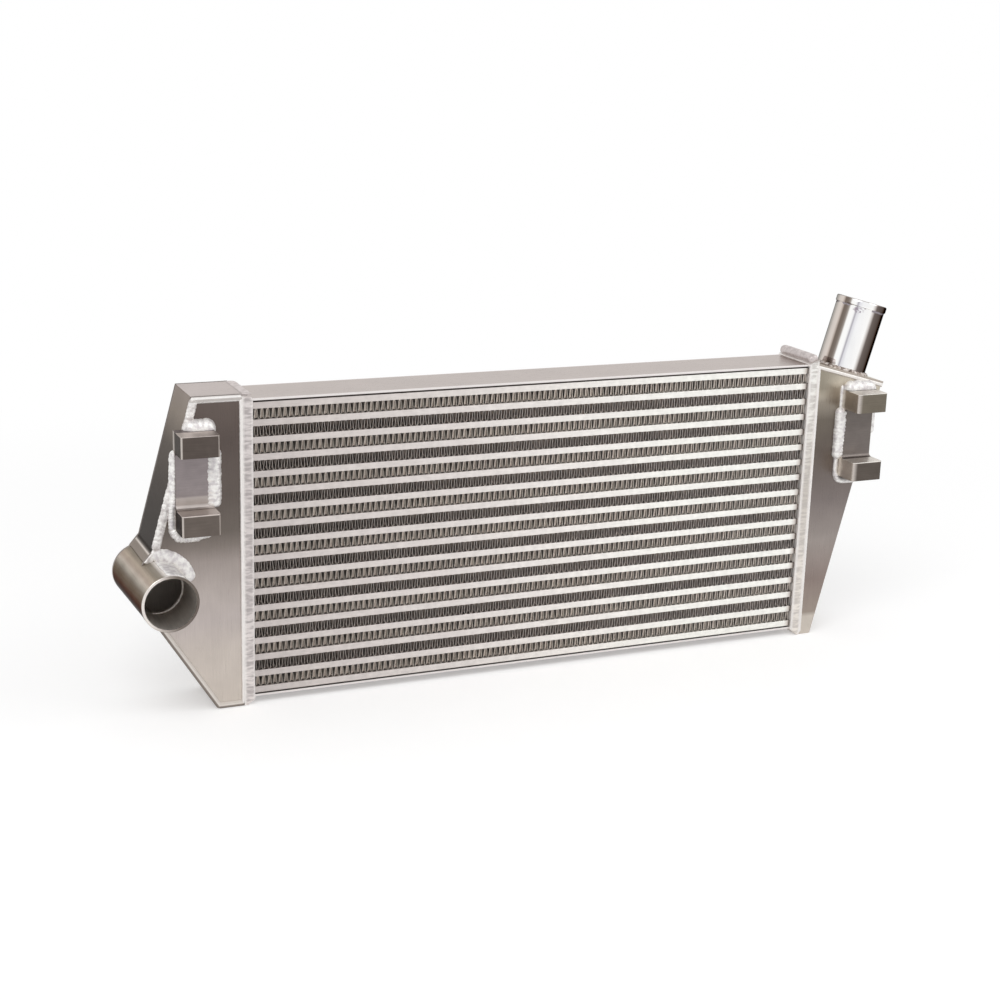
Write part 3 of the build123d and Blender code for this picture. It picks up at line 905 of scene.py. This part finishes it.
def addFins():
    rows = (modelFinRow(fin["plainStrips"], ()), modelFinRow(fin["louvredStrips"], fin["louvreDepths"]))
    uneven = bpy.data.textures.new("unevenFolds", "CLOUDS")
    uneven.noise_scale = fin["unevenSize"] * mm
    for replaced in sorted(name for name in nodes if name.startswith("air_fin")):
        number = replaced[-2:]
        louvred = int(number) % 2
        piece = copyOf(rows[louvred], "foldedFin_" + number)
        piece.location = [(a + b) / 2 for a, b in zip(*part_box(replaced))]
        if not louvred:
            piece.rotation_euler.x = math.pi
        only([piece])
        bpy.ops.object.transform_apply(location=True, rotation=True)
        bend = piece.modifiers.new("bend", "DISPLACE")
        bend.texture = uneven
        bend.texture_coords = "LOCAL"
        bend.direction = "X"
        bend.strength = fin["unevenness"] * mm
        sheet = piece.modifiers.new("sheet", "SOLIDIFY")
        sheet.thickness = fin["thickness"] * mm
        sheet.offset = 0.0
        sheet.material_offset = 1
        sheet.material_offset_rim = 2
        coat(piece, finMetals[louvred])
        apply(piece, "bend")
        apply(piece, "sheet")
        finishPiece(piece, "fin_aluminium", finMetals[louvred], replaced)
    only(rows)
    bpy.ops.object.delete()


finMetals = (
    [makeFinMetal(name) for name in ("finShadedOutside", "finShadedInside", "finShadedRowEdge")],
    [makeFinMetal(name) for name in ("finLitOutside", "finLitInside", "finLitRowEdge")],
)
addFins()
print("stage: cooling fins")


# Outlet tube, spun from its wall's section

def addOutlet():
    outer, inner = outlet["outer"], outlet["outer"] - outlet["wall"]
    reach, bead, foot = outlet["reach"], outlet["beadHeight"], -outlet["inside"]
    beadStart = reach - outlet["beadLength"]
    section = ((outer, foot), (outer, beadStart), (outer + bead * 0.6, beadStart + 0.5),
               (outer + bead, beadStart + 1.3), (outer + bead, reach - 1.4), (outer + bead * 0.7, reach - 0.5),
               (outer + bead * 0.1, reach), (inner + 0.4, reach), (inner, reach - 0.4), (inner, foot))
    bpy.ops.object.select_all(action="DESELECT")
    bpy.ops.mesh.primitive_plane_add(size=1.0)
    tube = bpy.context.object
    bpy.ops.object.mode_set(mode="EDIT")
    bpy.ops.mesh.select_all(action="SELECT")
    bpy.ops.mesh.merge(type="CENTER")
    bpy.ops.transform.translate(value=(outer * mm, 0.0, foot * mm))
    for (r0, h0), (r1, h1) in zip(section, section[1:] + section[:1]):
        bpy.ops.mesh.extrude_region_move(TRANSFORM_OT_translate={"value": ((r1 - r0) * mm, 0.0, (h1 - h0) * mm)})
    bpy.ops.mesh.select_all(action="SELECT")
    bpy.ops.mesh.remove_doubles(threshold=0.01 * mm)
    bpy.ops.mesh.spin(steps=128, angle=math.tau, center=(0.0, 0.0, 0.0), axis=(0.0, 0.0, 1.0))
    bpy.ops.mesh.select_all(action="SELECT")
    bpy.ops.mesh.remove_doubles(threshold=0.01 * mm)
    bpy.ops.mesh.normals_make_consistent(inside=False)
    bpy.ops.object.mode_set(mode="OBJECT")
    tube.name = "outletTube"
    tube.matrix_world = Matrix.Translation(at(*outlet["centre"])) @ Matrix.Rotation(outletSlope, 4, "Y")
    finishPiece(tube, "polished_tube", [outletMetal], "outlet_tube")


addOutlet()
print("stage: outlet tube")


# Weld beads: one frozen ripple, laid along each seam. A size is its length, width and rise.

ripple = {"segments": 16, "rings": 10, "cutAt": -0.35, "slumpAbove": 0.6, "slump": 0.1, "lean": 3.0,
          "sizeJitter": 0.04, "sideJitter": 0.02}
seamBeads = {
    "leftTop": {"start": (-12, -2, 293.6), "end": (-53, -2, 293.6), "pitch": 3.4, "size": (9.0, 5.8, 1.7)},
    "leftSlope": {"start": (-54, -2, 293), "end": (-90.5, -2, 161), "pitch": 3.4, "size": (8.4, 8.2, 2.6)},
    "rightTop": {"start": (596, -2, 289.0), "end": (672, -2, 267.2), "pitch": 3.4, "size": (9.0, 3.4, 1.6)},
}
headerBeads = {
    "left": {"start": (-5.25, -3.0, 5), "end": (-5.25, -3.0, 293), "pitch": 3.2, "size": (7.4, 9.2, 0.9)},
    "leftEdge": {"start": (-11.4, -2.2, 5.5), "end": (-11.4, -2.2, 291), "facing": front - sideways * 0.5,
                 "pitch": 4.0, "size": (11.0, 3.0, 1.9)},
    "right": {"start": (589.25, -3.0, 5), "end": (589.25, -3.0, 290), "pitch": 3.2, "size": (7.4, 9.2, 0.9)},
    "rightEdge": {"start": (595.4, -2.2, 5.5), "end": (595.4, -2.2, 287), "facing": front + sideways * 0.5,
                  "pitch": 4.0, "size": (11.0, 2.6, 1.6)},
    "leftTop": {"start": (-5.25, 0, 296.2), "end": (-5.25, 56, 296.2), "facing": above,
                "pitch": 4.0, "size": (10.0, 9.6, 1.0)},
}
crown = {"start": (-3, -2, 45), "end": (15, -2, 45), "facing": front + above * 1.2, "pitch": 4.4,
         "size": (17.0, 19.0, 9.5)}
bracketBeads = {  # measured from each bracket's middle: over the upper jaw, then down the sides
    "left": (
        crown,
        {"start": (17.5, -2, -24), "end": (17.5, -2, 24), "facing": front + sideways * 0.8, "pitch": 3.6,
         "size": (12.0, 16.4, 8.2)},
        {"start": (-19, -2, -24), "end": (-17, -2, 24), "facing": front - sideways * 0.3, "pitch": 3.4,
         "size": (10.0, 8.6, 5.8)},
    ),
    "right": (
        dict(crown, start=(-11, -2, 45)),
        {"start": (-18.2, -2, 47), "end": (-18.2, -2, 27), "facing": front - sideways, "pitch": 3.0,
         "size": (9.0, 3.8, 2.2)},
        {"start": (-17.8, -2, -24), "end": (-17.8, -2, 23), "facing": front - sideways * 0.8, "pitch": 3.6,
         "size": (12.0, 13.6, 7.0)},
        {"start": (18, -2, 0), "end": (18, -2, 24), "facing": front + sideways, "pitch": 3.4,
         "size": (11.0, 12.0, 5.8)},
    ),
}
footBead = {  # curls round the lower jaw's outer corner and tapers off under it
    "path": ((-19.2, 26), (-19.2, 2), (-16.5, -4.5), (-10, -6.5), (4, -6.5), (14, -5)),
    "sizes": ((6.4, 4.4), (7.4, 5.0), (8.4, 5.4), (8.0, 5.0), (6.0, 4.0)),
    "length": 8.6,
    "pitch": 3.0,
    "below": {"left": 46.5, "right": 45.5},
    "fullness": {"left": 1.3, "right": 0.8},
}
outletBead = {"radius": 26.4, "degrees": (0, 360), "lift": 0.5, "pitch": 3.4, "size": (8.0, 6.4, 2.8)}
inletBeads = {
    "below": {"radius": 26.0, "degrees": (-100, 16), "lift": 0.5, "pitch": 3.6, "size": (9.0, 8.0, 3.4)},
    "above": {"radius": 31.0, "degrees": (14, 90), "lift": 0.84, "pitch": 3.4, "size": (13.0, 13.2, 2.4)},
    "onTube": {"radius": 25.6, "runs": ((68, -44), (82, -45)), "back": -6.0, "pitch": 3.6, "size": (9.0, 12.0, 1.3)},
}
cornerBar = {"centre": (589.25, 28.0, 297.0), "radius": 5.6, "length": 60.0, "flatness": 0.9, "rounding": 3.6,
             "lump": 0.7, "lumpSize": 9.0}


def modelRipple():
    bpy.ops.object.select_all(action="DESELECT")
    bpy.ops.mesh.primitive_uv_sphere_add(segments=ripple["segments"], ring_count=ripple["rings"], radius=1.0)
    piece = bpy.context.object
    bpy.ops.object.mode_set(mode="EDIT")
    bpy.ops.mesh.select_all(action="SELECT")
    bpy.ops.mesh.bisect(plane_co=(0.0, 0.0, ripple["cutAt"]), plane_no=above, use_fill=True, clear_inner=True)
    pick(piece, lambda point: point.z > ripple["slumpAbove"])
    bpy.ops.transform.translate(value=(-ripple["slump"], 0.0, 0.0))
    bpy.ops.object.mode_set(mode="OBJECT")
    return piece


def layRipples(spots, size):
    beads = []
    sizes, sidesteps = (1 - ripple["sizeJitter"], 1 + ripple["sizeJitter"]), ripple["sideJitter"]
    length, width, rise = size
    for place, heading, normal in spots:
        side = normal.cross(heading).normalized()
        ahead = side.cross(normal)
        turn = Matrix((ahead, side, normal)).transposed().to_4x4()
        scale = [part * random.uniform(*sizes) * mm for part in (length / 2, width / 2, rise)]
        bead = copyOf(drop, "bead")
        bead.matrix_world = (Matrix.Translation(place + side * random.uniform(-sidesteps, sidesteps) * width * mm)
                             @ turn @ Matrix.Rotation(math.radians(ripple["lean"]), 4, "Y")
                             @ Matrix.Diagonal((*scale, 1.0)))
        beads.append(bead)
    return beads


def straightBead(bead, x=0.0, z=0.0):
    offset = Vector((x, 0.0, z))
    start, end = at(*Vector(bead["start"]) + offset), at(*Vector(bead["end"]) + offset)
    count = max(2, round((end - start).length / (bead["pitch"] * mm)))
    heading = (end - start).normalized()
    normal = bead.get("facing", front).normalized()
    return layRipples([(start.lerp(end, (i + 0.5) / count), heading, normal) for i in range(count)], bead["size"])


def ringBead(bead, centre, axis, across):
    up = axis.cross(across)
    first, last = bead["degrees"]
    count = round(math.radians(last - first) * bead["radius"] / bead["pitch"])
    spots = []
    for i in range(count):
        angle = math.radians(first + (last - first) * (i + 0.5) / count)
        out = across * math.cos(angle) + up * math.sin(angle)
        heading = up * math.cos(angle) - across * math.sin(angle)
        normal = (out * (1 - bead["lift"]) + axis * bead["lift"]).normalized()
        spots.append((at(*centre) + out * bead["radius"] * mm, heading, normal))
    return layRipples(spots, bead["size"])


def onTubeBeads(bead):  # flat weld along the inlet tube's upper side
    beads = []
    middleX, middleY, middleZ = inlet["centre"]
    for degrees, nearMouth in bead["runs"]:
        angle = math.radians(degrees)
        out = sideways * math.cos(angle) + above * math.sin(angle)
        ends = []
        for y in (nearMouth, bead["back"]):
            x = middleX - (y - middleY) * math.tan(math.radians(inlet["turn"]))
            ends.append((x + out.x * bead["radius"], y, middleZ + out.z * bead["radius"]))
        beads += straightBead(dict(bead, start=ends[0], end=ends[1], facing=out))
    return beads


def bracketRipples(side):
    middle, height = brackets[side]["middle"], brackets[side]["height"]
    beads = []
    for bead in bracketBeads[side]:
        beads += straightBead(bead, middle, height)
    path, foot, fullness = footBead["path"], height - footBead["below"][side], footBead["fullness"][side]
    for (x0, z0), (x1, z1), (width, rise) in zip(path, path[1:], footBead["sizes"]):
        beads += straightBead({
            "start": (x0, -2, z0), "end": (x1, -2, z1), "pitch": footBead["pitch"],
            "facing": front - above * 0.4 if z0 < 6 else front - sideways * 0.6,
            "size": (footBead["length"], width * fullness, rise * fullness)}, middle, foot)
    return beads


def addWeld(name, mat, beads, *replaced):
    finishPiece(joined(beads, name), "weld_metal", [mat], *replaced)


def addCornerBar():  # thick rounded run of filler along the top of the right header
    bpy.ops.object.select_all(action="DESELECT")
    bpy.ops.mesh.primitive_cylinder_add(vertices=32, radius=cornerBar["radius"] * mm, depth=cornerBar["length"] * mm)
    bar = bpy.context.object
    bpy.ops.object.mode_set(mode="EDIT")
    bpy.ops.mesh.select_all(action="SELECT")
    bpy.ops.transform.resize(value=(1.0, cornerBar["flatness"], 1.0))
    bpy.ops.object.mode_set(mode="OBJECT")
    ends = bar.modifiers.new("ends", "BEVEL")
    ends.limit_method = "ANGLE"
    ends.width = cornerBar["rounding"] * mm
    ends.segments = 5
    bar.modifiers.new("rounds", "SUBSURF").levels = 1
    apply(bar, "ends")
    apply(bar, "rounds")
    lumps = bpy.data.textures.new("fillerLumps", "CLOUDS")
    lumps.noise_scale = cornerBar["lumpSize"] * mm
    swell = bar.modifiers.new("swell", "DISPLACE")
    swell.texture = lumps
    swell.strength = cornerBar["lump"] * mm
    apply(bar, "swell")
    bar.name = "rightHeaderCornerBar"
    bar.matrix_world = Matrix.Translation(at(*cornerBar["centre"])) @ Matrix.Rotation(math.radians(90), 4, "X")
    finishPiece(bar, "weld_metal", [dullWeldMetal])


drop = modelRipple()
addWeld("leftSeamRipples", leftSeamMetal,
        straightBead(seamBeads["leftTop"]) + straightBead(seamBeads["leftSlope"]))
addWeld("rightSeamRipples", rightSeamMetal, straightBead(seamBeads["rightTop"]))
addWeld("leftHeaderRipples", headerMetal,
        straightBead(headerBeads["left"]) + straightBead(headerBeads["leftEdge"]))
addWeld("rightHeaderRipples", headerMetal,
        straightBead(headerBeads["right"]) + straightBead(headerBeads["rightEdge"]))
addWeld("headerTopRipples", dullWeldMetal, straightBead(headerBeads["leftTop"]))
addCornerBar()
addWeld("leftBracketRipples", weldMetal, bracketRipples("left"), "left_bracket_welds")
addWeld("rightBracketRipples", weldMetal, bracketRipples("right"), "right_bracket_welds")
addWeld("outletRipples", outletWeldMetal,
        ringBead(outletBead, outlet["centre"], outletUp, outletAcross), "outlet_tube_weld")
addWeld("inletRipples", weldMetal,
        ringBead(inletBeads["below"], inlet["centre"], front, sideways)
        + ringBead(inletBeads["above"], inlet["centre"], front, sideways)
        + onTubeBeads(inletBeads["onTube"]), "inlet_tube_weld")
only([drop])
bpy.ops.object.delete()
print("stage: weld ripples")
